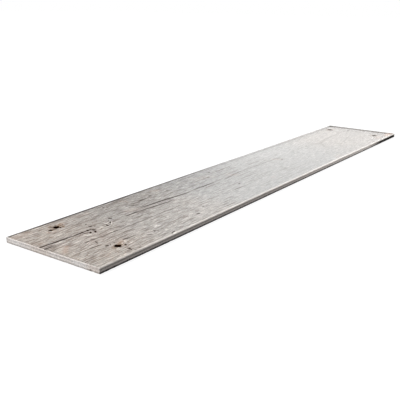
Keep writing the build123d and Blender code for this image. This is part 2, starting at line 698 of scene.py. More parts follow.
def strip(outer, inner, outerPlace, innerPlace):
    # triangles between two rings with unlike counts: all steps of both in the order of their places round the
    # rim, each step with the point that the other ring has reached
    outerSteps = np.append(outerPlace[1:], 4.0)
    innerSteps = np.append(innerPlace[1:], 4.0)
    order = np.argsort(np.concatenate((outerSteps, innerSteps)), kind="stable")
    isOuter = order < len(outerSteps)
    a = np.cumsum(isOuter) - isOuter
    b = np.cumsum(~isOuter) - ~isOuter
    here, there = outer[a % len(outer)], inner[b % len(inner)]
    third = np.where(isOuter, outer[(a + 1) % len(outer)], inner[(b + 1) % len(inner)])
    # an outer step is (next outer, outer, inner), an inner step (inner, next inner, outer): both face down
    return np.where(isOuter[:, None], np.stack((third, here, there), 1), np.stack((there, third, here), 1))


def channelDepth(x, y):
    # depth of the channels: the deeper of both ways, each falling from easing to foot, soft at the arris
    half = backForm["channel"] / 2
    arris, share = backForm["arris"]

    def across(value, end):
        offset = (value + end - half) % backForm["pitch"]
        offset = np.minimum(offset, backForm["pitch"] - offset)
        return np.interp(offset, (backForm["foot"], half - arris, backForm["easing"]), (1.0, share, 0.0))

    def wall(value, end):
        places = (half - backForm["easing"], arris, half - backForm["foot"])
        return np.interp(end - np.abs(value), places, (0.0, share, 1.0))

    endX = tile["length"] / 2 - backForm["border"]
    endY = tile["width"] / 2 - backForm["border"]
    long = np.minimum(across(x, endX), wall(y, endY))
    cross = np.minimum(across(y, endY), wall(x, endX))
    return backForm["depth"] * np.maximum(long, cross)


def backLines(size):
    # mesh lines of the back along or across: three at each side of every channel, and its rim
    end = size / 2 - backForm["border"]
    half = backForm["channel"] / 2
    middles = np.arange(-end + half, end, backForm["pitch"])
    offsets = (half - backForm["arris"][0], backForm["foot"], backForm["easing"])
    places = [m + s * o for m in middles for s in (-1, 1) for o in offsets]
    return np.unique(np.round(places + [-size / 2 + backForm["inset"], size / 2 - backForm["inset"]], 4))


def makeTile():
    halfX, halfY, halfHeight = tile["length"] / 2, tile["width"] / 2, tile["thickness"] / 2
    inset = tile["faceInset"]
    along, across = faceLines()
    x, y = np.meshgrid(along, across, indexing="ij")

    # mesh lines follow the grain except at the rim and round the nail marks
    rim = np.minimum(halfX - np.abs(x), halfY - np.abs(y))
    free = step(rim, inset, tile["freeRim"]) * step(nailEdge(x, y), *tile["freeMark"])
    y = y + free * grainShift(x, y)
    x, y = nailPulled(x, y)
    x, y = cornerPulled(x, y, halfX - inset, halfY - inset, tile["cornerRound"])

    ring, hold, push = knotFields(x, y)
    grain = y - grainShift(x, y) - push
    offset, crackHold, groove = crackFields(x, y)
    edge = nailEdge(x, y)
    depth = faceDepth(x, y, grain, ring, hold, groove, edge)
    face = np.stack((x, y, tile["thickness"] - depth), -1)

    # the edge: the face's rim carried down the profile, with small chips at both arrises
    i, j = ringOf(len(along), len(across))
    rimDepth = depth[i, j]
    lineX, lineY = along[i], across[j]
    chipDepth, noise, reach = tile["topChips"]
    chips = chipDepth * step(smoothNoise(lineX * 1.7 + lineY, lineY - lineX * 0.3, *noise), *reach)
    chipDepth, noise, reach = tile["lowChips"]
    lowChips = chipDepth * step(smoothNoise(lineX * 1.3 - lineY, lineY + lineX * 0.4, *noise), *reach)
    chipY, chipHalf, chipDeep = tile["lowChip"]
    endChip = chipDeep * np.exp(-((lineY - chipY) / chipHalf) ** 2) * (lineX < 0)
    lowChips = np.maximum(lowChips, endChip * (np.abs(lineY) < halfY - inset))
    rings = []
    for ringInset, height, follow in tile["edgeProfile"]:
        wear = np.where(height > halfHeight, chips * follow, lowChips * step(1.0 - height, 0.0, 0.9))
        ringX = lineX * (halfX - ringInset) / (halfX - inset)
        ringY = lineY * (halfY - ringInset) / (halfY - inset)
        ringX, ringY = cornerPulled(ringX, ringY, halfX - ringInset, halfY - ringInset, tile["cornerRound"])
        # wear moves a point in from the side it is on
        inX = step(np.abs(lineX), halfX - inset - tile["wearReach"], halfX - inset)
        inY = step(np.abs(lineY), halfY - inset - tile["wearReach"], halfY - inset)
        ringX = ringX - np.sign(ringX) * wear * inX
        ringY = ringY - np.sign(ringY) * wear * inY
        ringZ = height - rimDepth * follow - np.where(height > halfHeight, wear * 0.6, 0.0)
        rings.append(np.stack((ringX, ringY, ringZ), -1))

    backAlong, backAcross = backLines(tile["length"]), backLines(tile["width"])
    backX, backY = np.meshgrid(backAlong, backAcross, indexing="ij")
    channel = channelDepth(backX, backY)
    sag = backForm["sag"] * (0.5 + 0.5 * smoothNoise(backX, backY, *backForm["sagNoise"]))
    sag = sag * step(np.minimum(halfX - np.abs(backX), halfY - np.abs(backY)), *backForm["sagFrom"])
    back = np.stack((backX, backY, channel + sag), -1)

    faceCount, rimCount = len(along) * len(across), len(i)
    vertices = np.concatenate([face.reshape(-1, 3)] + rings + [back.reshape(-1, 3)])
    faceRim = i * len(across) + j
    ringRows = [faceRim] + [faceCount + k * rimCount + np.arange(rimCount) for k in range(len(rings))]
    backStart = faceCount + len(rings) * rimCount
    quads = [gridQuads(len(along), len(across), 0, True)]
    for upper, lower in zip(ringRows, ringRows[1:]):
        quads.append(np.stack((lower, np.roll(lower, -1), np.roll(upper, -1), upper), 1))
    quads.append(gridQuads(len(backAlong), len(backAcross), backStart, False))
    backI, backJ = ringOf(len(backAlong), len(backAcross))
    backRim = backStart + backI * len(backAcross) + backJ
    triangles = strip(ringRows[-1], backRim, ringPlace(along, across, i, j),
                      ringPlace(backAlong, backAcross, backI, backJ))
    inMark = edge.ravel()[quads[0]].mean(axis=1) < -0.05
    slots = [np.where(inMark, 3, 0)] + [np.full(len(q), 1) for q in quads[1:-1]]
    slots += [np.full(len(quads[-1]), 2), np.full(len(triangles), 2)]

    corners = np.concatenate([q.ravel() for q in quads] + [triangles.ravel()])
    sizes = np.concatenate([np.full(len(q), 4) for q in quads] + [np.full(len(triangles), 3)])
    mesh = bpy.data.meshes.new("plankTile")
    mesh.vertices.add(len(vertices))
    mesh.vertices.foreach_set("co", (vertices * mm).ravel())
    mesh.loops.add(len(corners))
    mesh.loops.foreach_set("vertex_index", corners.astype(np.int32))
    mesh.polygons.add(len(sizes))
    mesh.polygons.foreach_set("loop_start", np.concatenate(([0], np.cumsum(sizes)[:-1])).astype(np.int32))
    mesh.polygons.foreach_set("loop_total", sizes.astype(np.int32))
    mesh.polygons.foreach_set("material_index", np.concatenate(slots).astype(np.int32))
    mesh.update(calc_edges=True)
    mesh.validate()
    mesh.shade_smooth()
    mesh.set_sharp_from_angle(angle=math.radians(tile["sharpAngle"]))

    # what the materials read: the grain's own coordinates, and the places of knots, cracks and stains
    rest = len(vertices) - faceCount

    def carry(name, values, outside):
        kept = np.concatenate((values.ravel(), np.full(rest, outside)))
        mesh.attributes.new(name, "FLOAT", "POINT").data.foreach_set("value", kept.astype(np.float32))

    path = vertices.copy()
    path[:faceCount, 1] = grain.ravel()
    path[:, 2] = 0.0
    mesh.attributes.new("grainPath", "FLOAT_VECTOR", "POINT").data.foreach_set("vector", (path * mm).ravel())
    carry("knotRing", ring, farAway)
    carry("knotHold", hold, 0.0)
    carry("crackOffset", offset, furthestOffset)
    carry("crackHold", crackHold, 0.0)
    carry("nailEdge", edge, farAway)
    for name, values in paintMarks(x, y).items():
        carry(name, values, 0.0)

    tileObject = bpy.data.objects.new("plankTile", mesh)
    scene.collection.objects.link(tileObject)
    print("tile:", 2 * sum(len(q) for q in quads) + len(triangles), "triangles,",
          len(along), "x", len(across), "lines on the face")
    return tileObject


# Marks printed on the face: from x, y to x, y, half width, strength
marks = {
    "darkMark": (
        (-496.6, 17.8, -493.4, 13.4, 2.2, 0.70), (-517, 16.5, -515, 13.5, 1.4, 0.6),
        (-511, 16.5, -509, 14, 1.4, 0.55), (-504, 14.5, -502, 15, 1.4, 0.45),
        (-487, 42.5, -485, 43, 1.6, 0.6), (-534, 67.5, -528.5, 65.5, 1.6, 0.8),
        (-520.1, 65.6, -519.6, 65.1, 1.6, 0.9), (-529.5, 78.5, -526.8, 75, 1.8, 0.9),
        (-468, 10.5, -464.5, 16.5, 1.7, 0.80), (-455.5, 16.5, -450, 21.5, 1.6, 0.65),
        (-450, 26.5, -447.5, 27.5, 1.7, 0.6), (-439.8, 34.8, -437.4, 32.2, 1.8, 1),
        (-365, 61, -365, 55.5, 1.5, 0.5), (-365, 55.5, -362.5, 50, 1.6, 0.8),
        (-362.5, 50, -357.5, 45.5, 1.6, 0.8), (-357.5, 45.5, -349.5, 46, 1.5, 0.6),
        (-349.5, 46, -341, 52, 1.2, 0.4), (-347.8, 57.5, -346.5, 59, 1.4, 0.4),
        (-329, -70, -325, -70.5, 2.2, 1.1), (-438.5, -64, -435, -65, 1.5, 0.5),
        (-443, -67.5, -440, -66.5, 1.5, 0.5), (-459, -68, -455.5, -73.5, 1.5, 0.5),
        (-528, -11, -526, -19, 1.5, 0.6), (-531, -24, -534, -31, 1.6, 0.7),
        (-545, -14.8, -536, -15.2, 1.4, 0.6), (-535, -49.5, -532, -50.5, 1.9, 0.9),
        (-521, -48.5, -517, -48, 1.5, 0.5), (-513.5, -67.5, -510.5, -68.5, 1.8, 0.5),
        (-504, -64, -500, -62.5, 1.4, 0.5), (-500, -51.5, -487, -53, 1.7, 0.5),
        (-523, -83, -519, -83.5, 1.7, 0.7), (-521, -94, -517, -94, 1.6, 0.6),
        (-509, -93.5, -505, -93, 1.5, 0.6), (-431, -94.5, -422, -91.5, 1.6, 1.1),
        (-466, 39.5, -462, 40, 1.4, 0.45), (-352, -56, -349, -57, 1.5, 0.5),
        (-320, -63.5, -313, -62, 1.5, 0.5), (-254, 58.5, -249, 58, 1.9, 0.6),
        (-292, -54.5, -288, -54, 1.9, 0.6), (-300, 64, -295, 64.5, 2, 0.8),
        (-122, -25.5, -117, -24.5, 2.4, 0.65), (-124, 52, -118, 51, 2.6, 0.6),
        (-90, 72, -85, 72.5, 2.8, 0.65), (-86, 16.5, -83, 17.5, 2.2, 0.4), (116, 4, 121, 6, 3.4, 0.5),
        (551, 23, 560, 23, 4, 0.6), (531, 67, 538, 72, 6.5, 1.2), (532, -66, 538, -61, 5.5, 1),
    ),
    "shadeMark": (
        (-596, 94, -596, 18, 4, 0.30), (-598.5, 18, -598.5, -60, 1.8, 0.25),
        (-340, -48, -286, -48.5, 1.8, 0.6), (-362, -17.5, -318, -18, 1.8, 0.5),
        (-292, -15.5, -276, -8, 1.8, 0.5), (-248, -38, -222, -39, 2.2, 0.5),
        (-470, 58, -380, 57, 2.2, 0.25), (-330, 40, -300, 36, 1.6, 0.4), (-500, -4, -474, -5, 2.4, 0.5),
        (-473, 32, -455, 24.5, 1.3, 0.6), (-445, 22.5, -433, 20, 1.4, 0.5), (-500, 57, -488, 54, 3, 0.5),
        (-196, 68, -170, 69, 3, 0.5), (-160, -16, -176, -22, 1.8, 0.4), (-60, -4, -10, -2, 3, 0.3),
        (20, 23, 78, 22, 3, 0.3), (85, 35, 79, 8, 3.4, 0.5), (94, 40, 111, 28, 2.6, 0.5),
        (111, 28, 126, 6, 2.6, 0.6), (60, -22, 38, -52, 5, 0.4), (38, -52, 63, -55, 4, 0.3),
        (150, 40, 166, 44, 4, 0.3), (200, 27, 328, 24, 3, 0.4), (328, 24, 345, 12, 3.6, 0.7),
        (345, 12, 410, 25, 3.2, 0.7), (410, 25, 465, 26, 3.4, 0.5), (465, 26, 553, 34, 3.4, 0.3),
        (345, 12, 309, -19, 3.4, 0.6), (309, -19, 308, -39, 4, 0.5), (308, -39, 312, -52, 4, 0.3),
        (440, -22, 462, -14, 4, 0.4), (400, -28, 430, -24, 3, 0.3), (554, -2, 562, -1, 4, 0.4),
        (325, -58, 345, -56, 3.4, 0.3),
    ),
    "paleMark": (
        (-520.5, 11, -518.5, 5.5, 1.7, 1.1), (-518.5, 5.5, -512, 4, 1.7, 1), (-511, 4, -505, 1.5, 1.2, 0.5),
        (-448.5, 20, -458, 11, 1.2, 0.55), (-461.5, 20, -455, 21.5, 1.3, 0.8),
        (-445, 28.5, -443.5, 27.5, 1.3, 0.7), (-452.5, 13, -442, 14, 1.8, 0.45),
        (-542.8, 64.2, -540, 61.4, 1.6, 1.2), (-354, 52, -346, 49, 2.6, 0.45),
        (-424, -54, -416, -51, 1.9, 0.65), (-334, -75, -330, -75.5, 2, 0.6),
        (-462, -66, -459, -69, 1.7, 0.7), (-458, -74, -451, -76, 1.5, 0.6),
        (-256, 62.5, -250, 63.5, 2.4, 0.45), (-221, 60, -215, 60.5, 2.4, 0.45),
        (-542, -22, -540, -28, 3, 0.2), (-592, -84, -548, -82, 11, 0.30), (-560, -62, -545, -60, 8, 0.22),
        (-430, -97, -422, -95, 1.8, 1.1), (-451, -72, -448, -66, 1.5, 0.5),
        (-506, 14.5, -500, 13.5, 1.5, 0.6), (-110, -30, -104, -28, 3, 0.2),
        (-165, -53, -160, -51, 2.2, 0.4), (-310, 62, -300, 64, 1.8, 0.3), (-46, 40, -38, 44, 2.6, 0.3),
        (62, -40, 74, -37, 3, 0.4), (106, 26, 116, 30, 3, 0.4), (548, 80, 562, 82, 4, 0.5),
    ),
    "rustMark": (
        (-531, 70, -516, 74, 6.5, 1), (-544, 64.5, -534, 67, 3.6, 1), (-517, 63, -511, 67.5, 2, 1.3),
        (-514, 71, -508, 74, 1.7, 1.2), (-515, 77, -506, 81, 1.7, 1.1), (-531, 81, -524, 83, 2, 0.9),
        (-531, -65, -519, -62, 5.8, 1), (-518, -59, -508, -55, 1.9, 1.2), (-517, -64.5, -511, -63, 1.7, 1),
        (-507, -58, -500, -54.5, 1.6, 0.8), (-516, -70.5, -508, -72, 1.8, 0.9),
        (-505, -66, -497, -63.5, 1.5, 0.6), (528, 72, 541, 71, 8, 1.2), (528, -63, 541, -63, 7, 1.2),
    ),
    "peachMark": (
        (-512, 76, -503, 78, 3.2, 0.9), (-547, 61, -536, 58.5, 3, 0.6), (-516, -60, -502, -53, 5, 1.1),
        (-590, -20, -572, -4, 4.5, 1), (-600, 84, -570, 86, 8, 0.5), (-596, 38, -585, 36, 6, 0.4),
        (-562, -78, -556, -74, 4, 0.4), (-470, 88, -440, 84, 5, 0.3), (-268, 80, -262, 74, 6, 0.5),
        (-352, 74, -356, 80, 5, 0.4), (-150, 68, -110, 50, 9, 0.25), (556, -92, 600, -88, 8, 1.9),
        (505, -80, 530, -82, 5, 0.9), (586, -90, 598, -60, 4, 1), (500, -88, 530, -84, 4, 0.6),
        (-36, -56, -30, -55, 4, 0.4), (108, 20, 116, 12, 7, 0.5), (-76, 30, -64, 16, 7, 0.35),
        (-372, 32, -390, 36, 7, 0.4), (220, -90, 250, -82, 8, 0.3), (530, 62, 546, 62, 4, 0.5),
    ),
}


def paintMarks(x, y):
    # a stroke is strength * exp(-(d/halfWidth)^2), d the distance to the segment between its ends. Where
    # strokes meet, the strongest counts
    painted = {}
    for name, strokes in marks.items():
        total = np.zeros_like(x)
        for fromX, fromY, toX, toY, halfWidth, strength in strokes:
            runX, runY = toX - fromX, toY - fromY
            t = np.clip(((x - fromX) * runX + (y - fromY) * runY) / (runX * runX + runY * runY), 0, 1)
            away = np.hypot(x - fromX - t * runX, y - fromY - t * runY)
            total = np.maximum(total, strength * np.exp(-(away / halfWidth) ** 2))
        painted[name] = total
    return painted


# Finishes

glaze = {
    "beige": paint(186, 175, 165),
    "grey": paint(180, 171, 164),
    "cool": paint(169, 169, 168),
    "pink": paint(187, 174, 166),
    "lime": paint(232, 227, 220),
    "darkGrain": paint(88, 72, 60),
    "chalk": paint(244, 240, 233),
    "crack": paint(46, 31, 21),
    "soot": paint(54, 38, 24),
    "ink": paint(44, 18, 10),
    "rim": paint(44, 40, 37),
    # painted highlight along the right rim
    "wornRim": paint(247, 242, 235),
    "rust": paint(122, 92, 56),
    "peach": paint(193, 165, 148),
    "roughness": 0.42,
    "specular": 0.22,
    "bumpStrength": 0.35,
    "bumpDistance": 0.0004,
    "farRim": 0.36,  # how dark the far end's band is beside that of the left side
}

# Noise of the print: cells per metre along and across, shift along and across, detail, roughness
printNoise = {
    "broad": (4.0, 36.0, 1.3, 2.1, 2.0, 0.5),
    "bands": (7.0, 130.0, 4.1, 0.7, 3.0, 0.5),
    "streaks": (26.0, 330.0, 2.2, 5.3, 3.0, 0.65),
    "fibres": (48.0, 640.0, 1.7, 6.1, 1.0, 0.5),
    "flecks": (105.0, 760.0, 6.2, 2.8, 1.0, 0.5),
    "threads": (9.0, 430.0, 3.9, 7.4, 1.0, 0.5),
    "fine": (90.0, 1500.0, 7.7, 1.9, 3.0, 0.6),
    "pores": (120.0, 1300.0, 9.1, 4.4, 1.0, 0.5),
    "blotch": (16.0, 26.0, 3.3, 8.2, 3.0, 0.5),
    "smear": (9.0, 20.0, 0.4, 3.6, 2.0, 0.5),
}

# Layers of the print in their order: colour, share of the ground it covers where it is strongest, and for
# most of them from which value of what makes them up to which they come in
layers = {
    "pinkPatches": ("pink", 0.55, 0.5, 0.72),
    "coolMiddle": ("cool", 1.0),
    "darkerGrain": ("darkGrain", 0.52, 0.505, 0.55),
    "limedGrain": ("lime", 0.54, 0.495, 0.45),
    "pores": ("darkGrain", 0.5, 0.66, 0.74),
    "threads": ("darkGrain", 0.75, 0.60, 0.66),
    "knotRings": ("darkGrain", 0.35, 0.1, 1.0),
    "knotHearts": ("crack", 0.6, 3.2, 1.0),
    "paleMarks": ("chalk", 0.95, 0.05, 1.0),
    "peachMarks": ("peach", 0.55),
    "rustMarks": ("rust", 0.8, 0.10, 0.75),
    "shadeMarks": ("darkGrain", 0.5),
    "darkMarks": ("soot", 1.0, 0.20, 0.62),
    "inkSpots": ("ink", 1.0),
    "chalkSpots": ("chalk", 1.0),
    "crackShadow": ("darkGrain", 0.28, 4.0, 1.6),
    "crackLine": ("crack", 1.0),
    "darkRim": ("rim", 1.0),
    "wornRim": ("wornRim", 1.0),
    "nailRust": ("rust", 1.0, 2.8, 0.5),
}

# Fades of the print along the tile: from and to in metres from its middle, then the share before and after
printAlong = {
    "coolNear": (-0.52, -0.42, 0.0, 0.60),
    "coolMiddle": (-0.38, -0.20, 0.0, 1.0),
    "coolFar": (0.20, 0.40, 1.0, 0.55),
    "leftShadeStart": (-0.62, -0.28, 0.0, 0.40),
    "leftShadeEnd": (0.12, -0.16, 0.0, 1.0),
    "farShade": (0.49, 0.60, 0.0, 0.28),
    "leftEdgeShade": (0.10, 0.42, 0.0, 0.22),
    "crispNear": (-0.58, -0.40, 1.32, 1.08),
    "crispMiddle": (-0.42, -0.08, 1.0, 0.45),
    "crispFar": (0.0, 0.35, 1.0, 1.3),
    "farBands": (-0.1, 0.35, 0.0, 0.26),
    "threads": (-0.1, 0.2, 1.0, 0.25),
    "leftRimStart": (-0.60, -0.50, 0.8, 1.0),
    "leftRimEnd": (0.10, -0.15, 0.02, 1.0),
    "farRim": (0.5760, 0.5900, 0.0, 1.0),
    "nearRim": (-0.5945, -0.5985, 0.0, 0.10),
    "innerRim": (-0.20, 0.05, 0.0, 0.36),
    # the next three set the painted highlight along the right rim
    "highlightNear": (-0.58, -0.42, 0.32, 0.48),
    "highlightMiddle": (-0.20, 0.20, 0.0, 0.22),
    "highlightFar": (0.30, 0.45, 0.0, -0.20),
    "nailRust": (0.0, -0.3, 0.75, 0.60),
}

# Fades of the print across the tile: from and to in metres from its middle, positive on the left
printAcross = {
    "leftShade": (-0.06, 0.09),
    "leftEdgeShade": (0.062, 0.092),
    "leftRim": (0.0938, 0.0962),
    "innerRimStart": (0.0840, 0.0900),
    "innerRimEnd": (0.0960, 0.0930),
    "rightRim": (-0.0940, -0.0966),
}

# Small spots of the print: x, y, half length, half width, turn in degrees, strength
spots = {
    "ink": (
        (-539.1, 67.4, 3.4, 2.4, 48, 1), (-543.4, 73, 2.4, 1.2, -53, 0.35), (-519.8, 65.2, 2.2, 1.2, 48, 1),
        (-518.2, 72.6, 2, 1.4, 48, 0.9), (-514.3, 66.7, 1.6, 1, 48, 0.6), (-508.6, 73, 1.6, 1, 48, 0.5),
        (-513.5, 72, 1.5, 0.9, 48, 0.5), (-519, 78.6, 1.8, 1, 48, 0.5), (-499.2, 7.3, 3, 1.4, 47, 1),
        (-507.1, 10.3, 2.9, 1.4, 47, 1), (-503.4, 20.5, 2.4, 1.6, 47, 0.95),
        (-487.5, 30.7, 2.3, 1.6, -53, 0.85), (-514.8, 21.1, 1.9, 1.4, 47, 0.8),
        (-520.4, 20.3, 1.8, 1.4, 47, 0.6), (-515.9, 15.1, 1.6, 1.1, 47, 0.5),
        (-438.3, 33.5, 2, 1.5, -53, 0.6), (-453.1, 18.7, 3.4, 1, 44, 0.6),
        (-466.9, 11.7, 1.9, 1.4, 20, 0.7), (-512.3, -68, 2.2, 1.3, 42, 0.9),
        (-520.6, -83.9, 1.9, 1.4, 42, 0.85), (-531.3, -49.7, 2, 1.5, -53, 0.6),
        (-525.6, -49.8, 2, 0.9, 43, 0.6), (-516.2, -49.2, 1.7, 1.1, 43, 0.6),
        (-493.7, -52.1, 3.2, 1.3, -40, 0.55), (-522, -88.6, 1.8, 1.1, 42, 0.6),
        (-495.1, 15.8, 3.4, 2.4, 47, 0.5), (-497.8, 20, 2.2, 1.2, 47, 0.55),
        (-484.2, 43.2, 2.2, 1.5, 47, 0.4), (-474, -1.2, 2, 1.3, 47, 0.4), (-482.8, 10.4, 2, 1.2, 47, 0.35),
        (-522.7, 1.2, 3, 1.3, -53, 0.35), (-480.7, 27.3, 2.2, 1.3, 47, 0.35),
        (-466.7, 27.4, 4.4, 1.2, -53, 0.3), (-456.9, -70, 4.6, 1.5, -53, 0.5),
        (-439.3, -64.5, 2.2, 1.4, 42, 0.45), (-433.9, -67.1, 2.2, 1.3, 42, 0.4),
        (-402.3, 83.4, 2.6, 1.5, 47, 0.55), (-396.9, 79.1, 2.4, 1.4, 47, 0.35),
    ),
    "chalk": (
        (-541.7, 63.3, 2.4, 1.4, -53, 0.5), (-454.1, 15, 3.8, 0.8, 43, 0.4),
        (-444.4, 28, 1.6, 1.1, 43, 0.6), (-461.7, 20.2, 2.2, 1, -53, 0.45), (-505.7, 0.9, 2, 1.1, -53, 0.4),
        (-501.2, -56.4, 1.7, 1.3, 42, 0.65), (-511.8, -61.9, 1.7, 1.1, 42, 0.5),
        (-532.1, -70, 2, 1.2, 42, 0.5), (-528.6, -69.6, 1.8, 1.1, 42, 0.6),
        (-533.1, -10.1, 2.4, 1.5, -53, 0.5), (-520, -10.2, 2, 1.4, -53, 0.45),
        (-470.8, 8.8, 1.9, 1.3, 45, 0.5), (-482.3, -13.4, 2, 1.3, 45, 0.5), (-477.3, 16.5, 3, 2, 45, 0.35),
        (-453.9, -66.5, 4, 1.2, -53, 0.4), (-418.2, -50.7, 2.2, 1.5, 42, 0.35),
        (-424.8, -53.2, 2.2, 1.3, 42, 0.3), (-416.2, -55, 2.2, 1.3, 42, 0.3),
        (-423.6, -76.7, 2.6, 1.7, 42, 0.45), (-372.3, -38.3, 2.6, 1.6, 42, 0.35),
        (-427.9, -96.2, 2.6, 1.4, 20, 0.8),
    ),
}


def printed(name, vector):
    along, across, shiftAlong, shiftAcross, detail, roughness = printNoise[name]
    place = stretched(vector, (along, across, 1.0), (shiftAlong, shiftAcross, 0.0))
    return cloud(place, detail=detail, roughness=roughness)


def laid(colour, name, value, share=1.0):
    # one layer of the print over the colour
    pigment, strength, *reach = layers[name]
    amount = spread(value, *reach) if reach else value
    return blend(colour, glaze[pigment], amount * (share * strength))


def spotMask(place, fray, listed):
    # for each spot r = length of its turned offset over (half length, half width), plus the fraying.
    # The mask is the spot's strength inside r = 1.05 and gone at 1.55
    total = 0.0
    for x, y, halfLong, halfWide, turned, strength in listed:
        own = newNode("Mapping", place, vector_type="TEXTURE")
        own.inputs["Location"].default_value = (x * mm, y * mm, 0.0)
        own.inputs["Rotation"].default_value = (0.0, 0.0, math.radians(turned))
        own.inputs["Scale"].default_value = (halfLong * mm, halfWide * mm, 1.0)
        r = given(newNode("VectorMath", given(own), operation="LENGTH"), "Value")
        total = larger(spread(r + fray, 1.55, 1.05, 0.0, strength), total)
    return total


def printedWood():
    material = newMaterial("printedWoodGlaze")
    grain = held("grainPath", "Vector")
    place = objectPlace()
    x, y = axesOf(place)[:2]

    # streaks from wide to fine in the grain's own coordinates, and patches that take no notice of it
    broad, bands, streaks, fibres = [printed(name, grain) for name in ("broad", "bands", "streaks", "fibres")]
    flecks, threads, fine, pores = [printed(name, grain) for name in ("flecks", "threads", "fine", "pores")]
    blotch, smear = printed("blotch", place), printed("smear", place)

    # ground tone: grey with beige bands, pinker in patches, cooler beyond the nail marks
    colour = blend(glaze["grey"], glaze["beige"], spread(blotch + (bands - 0.5) * 0.5, 0.34, 0.66))
    colour = laid(colour, "pinkPatches", smear)
    cooler = larger(faded(x, printAlong, "coolNear"), faded(x, printAlong, "coolMiddle"))
    colour = laid(colour, "coolMiddle", cooler * faded(x, printAlong, "coolFar"))
    # the left half is darker up to the middle of the tile, and so are the far end and its left edge
    shade = faded(y, printAcross, "leftShade") * faded(x, printAlong, "leftShadeStart", "leftShadeEnd")
    shade = shade + faded(y, printAcross, "leftEdgeShade") * faded(x, printAlong, "leftEdgeShade")
    colour = scaled(colour, 1.0 - (shade + faded(x, printAlong, "farShade")))

    # darker grain and limed streaks, calmer in the middle of the tile and in the knots
    hold = held("knotHold")
    crisp = faded(x, printAlong, "crispMiddle", "crispFar", "crispNear") * (1.0 - hold * 0.5)
    mixed = fibres * 0.5 + flecks * 0.5
    colour = laid(colour, "darkerGrain", mixed, crisp)
    colour = laid(colour, "limedGrain", mixed, crisp)
    uneven = (bands - 0.5) * 0.12 + (fine - 0.5) + (broad - 0.5) * 0.10
    uneven = uneven + spread(flecks, 0.38, 0.62, -0.25, 0.25)
    wider = (bands - 0.5) * faded(x, printAlong, "farBands")
    colour = scaled(colour, 1.0 + uneven * crisp + wider)
    colour = laid(colour, "pores", pores)
    colour = laid(colour, "threads", threads, faded(x, printAlong, "threads"))

    # knots: rings round the middle and a dark heart
    ring = held("knotRing") + (streaks - 0.5) * 1.6
    colour = laid(colour, "knotRings", maths("SINE", ring * 2.4), hold)
    colour = laid(colour, "knotHearts", ring, hold)

    # listed marks, broken up by the fine grain
    broken = spread(fibres, 0.42, 0.55, 0.55, 1.0)
    colour = laid(colour, "paleMarks", held("paleMark"), broken)
    colour = laid(colour, "peachMarks", held("peachMark"), broken)
    colour = laid(colour, "rustMarks", held("rustMark"), spread(flecks, 0.42, 0.58, 0.3, 1.0))
    colour = laid(colour, "shadeMarks", held("shadeMark"))
    colour = laid(colour, "darkMarks", held("darkMark"), spread(fibres, 0.42, 0.55, 0.85, 1.0))
    fray = (flecks - 0.5) * 1.8 + (fine - 0.5) * 1.4
    inked = spotMask(place, fray, spots["ink"])
    colour = laid(colour, "inkSpots", inked)
    colour = laid(colour, "chalkSpots", spotMask(place, fray, spots["chalk"]))

    # cracks: a brown shadow and a dark line that comes and goes
    away = abs(held("crackOffset") + (fine - 0.5) * 1.4)
    crackHold = held("crackHold")
    colour = laid(colour, "crackShadow", away, crackHold)
    line = spread(away, 2.7, 1.8) * crackHold * spread(streaks, 0.25, 0.50, 0.70, 1.0)
    colour = laid(colour, "crackLine", line)

    # margins: darker along the left side and the far end, and a painted highlight along the right side
    frayed = y + (bands - 0.5) * 0.004
    leftRim = faded(frayed, printAcross, "leftRim") * faded(x, printAlong, "leftRimEnd", "leftRimStart")
    innerRim = faded(y, printAcross, "innerRimStart", "innerRimEnd") * faded(x, printAlong, "innerRim")
    farRim = faded(x + (blotch - 0.5) * 0.01, printAlong, "farRim")
    rims = larger(leftRim, farRim * glaze["farRim"], faded(x, printAlong, "nearRim"))
    colour = laid(colour, "darkRim", rims + innerRim)
    # the pale right rim is a painted highlight; wear is its strength along the tile
    wear = faded(x, printAlong, "highlightNear") + faded(x, printAlong, "highlightMiddle")
    wear = wear + faded(x, printAlong, "highlightFar")
    colour = laid(colour, "wornRim", faded(frayed, printAcross, "rightRim") * wear)

    # nail marks: rust at the lip, with a little of the soot
    edge = held("nailEdge") + (fine - 0.5) * 1.2
    colour = laid(colour, "nailRust", edge, faded(x, printAlong, "nailRust"))
    colour = blend(colour, sooted["soot"], spread(edge, 1.5, 0.3))

    roughness = glaze["roughness"] + (streaks - 0.5) * 0.22 + line * 0.3 + farRim * 0.3 + inked * 0.6
    coat(colour, roughness, glaze, streaks * 0.6 + fine * 0.35 + line * -0.8)
    return material


sooted = {
    "soot": paint(5, 4, 3),
    "rusty": paint(66, 32, 16),
    "specular": 0.0,
    "bumpStrength": 0.4,
    "bumpDistance": 0.0003,
}


def sootedMark():
    # the hollow of a nail mark: flat soot with rusty grains
    material = newMaterial("sootedNailMark")
    place = objectPlace()
    grains = cloud(place, scale=700.0)
    lumps = cloud(place, scale=260.0)
    lip = spread(held("nailEdge"), -1.6, -0.3, 0.15, 0.9)
    colour = blend(sooted["soot"], sooted["rusty"], spread(grains, 0.40, 0.62) * lip)
    coat(colour, spread(lumps, 0.3, 0.7, 0.85, 1.0), sooted, lumps)
    return material


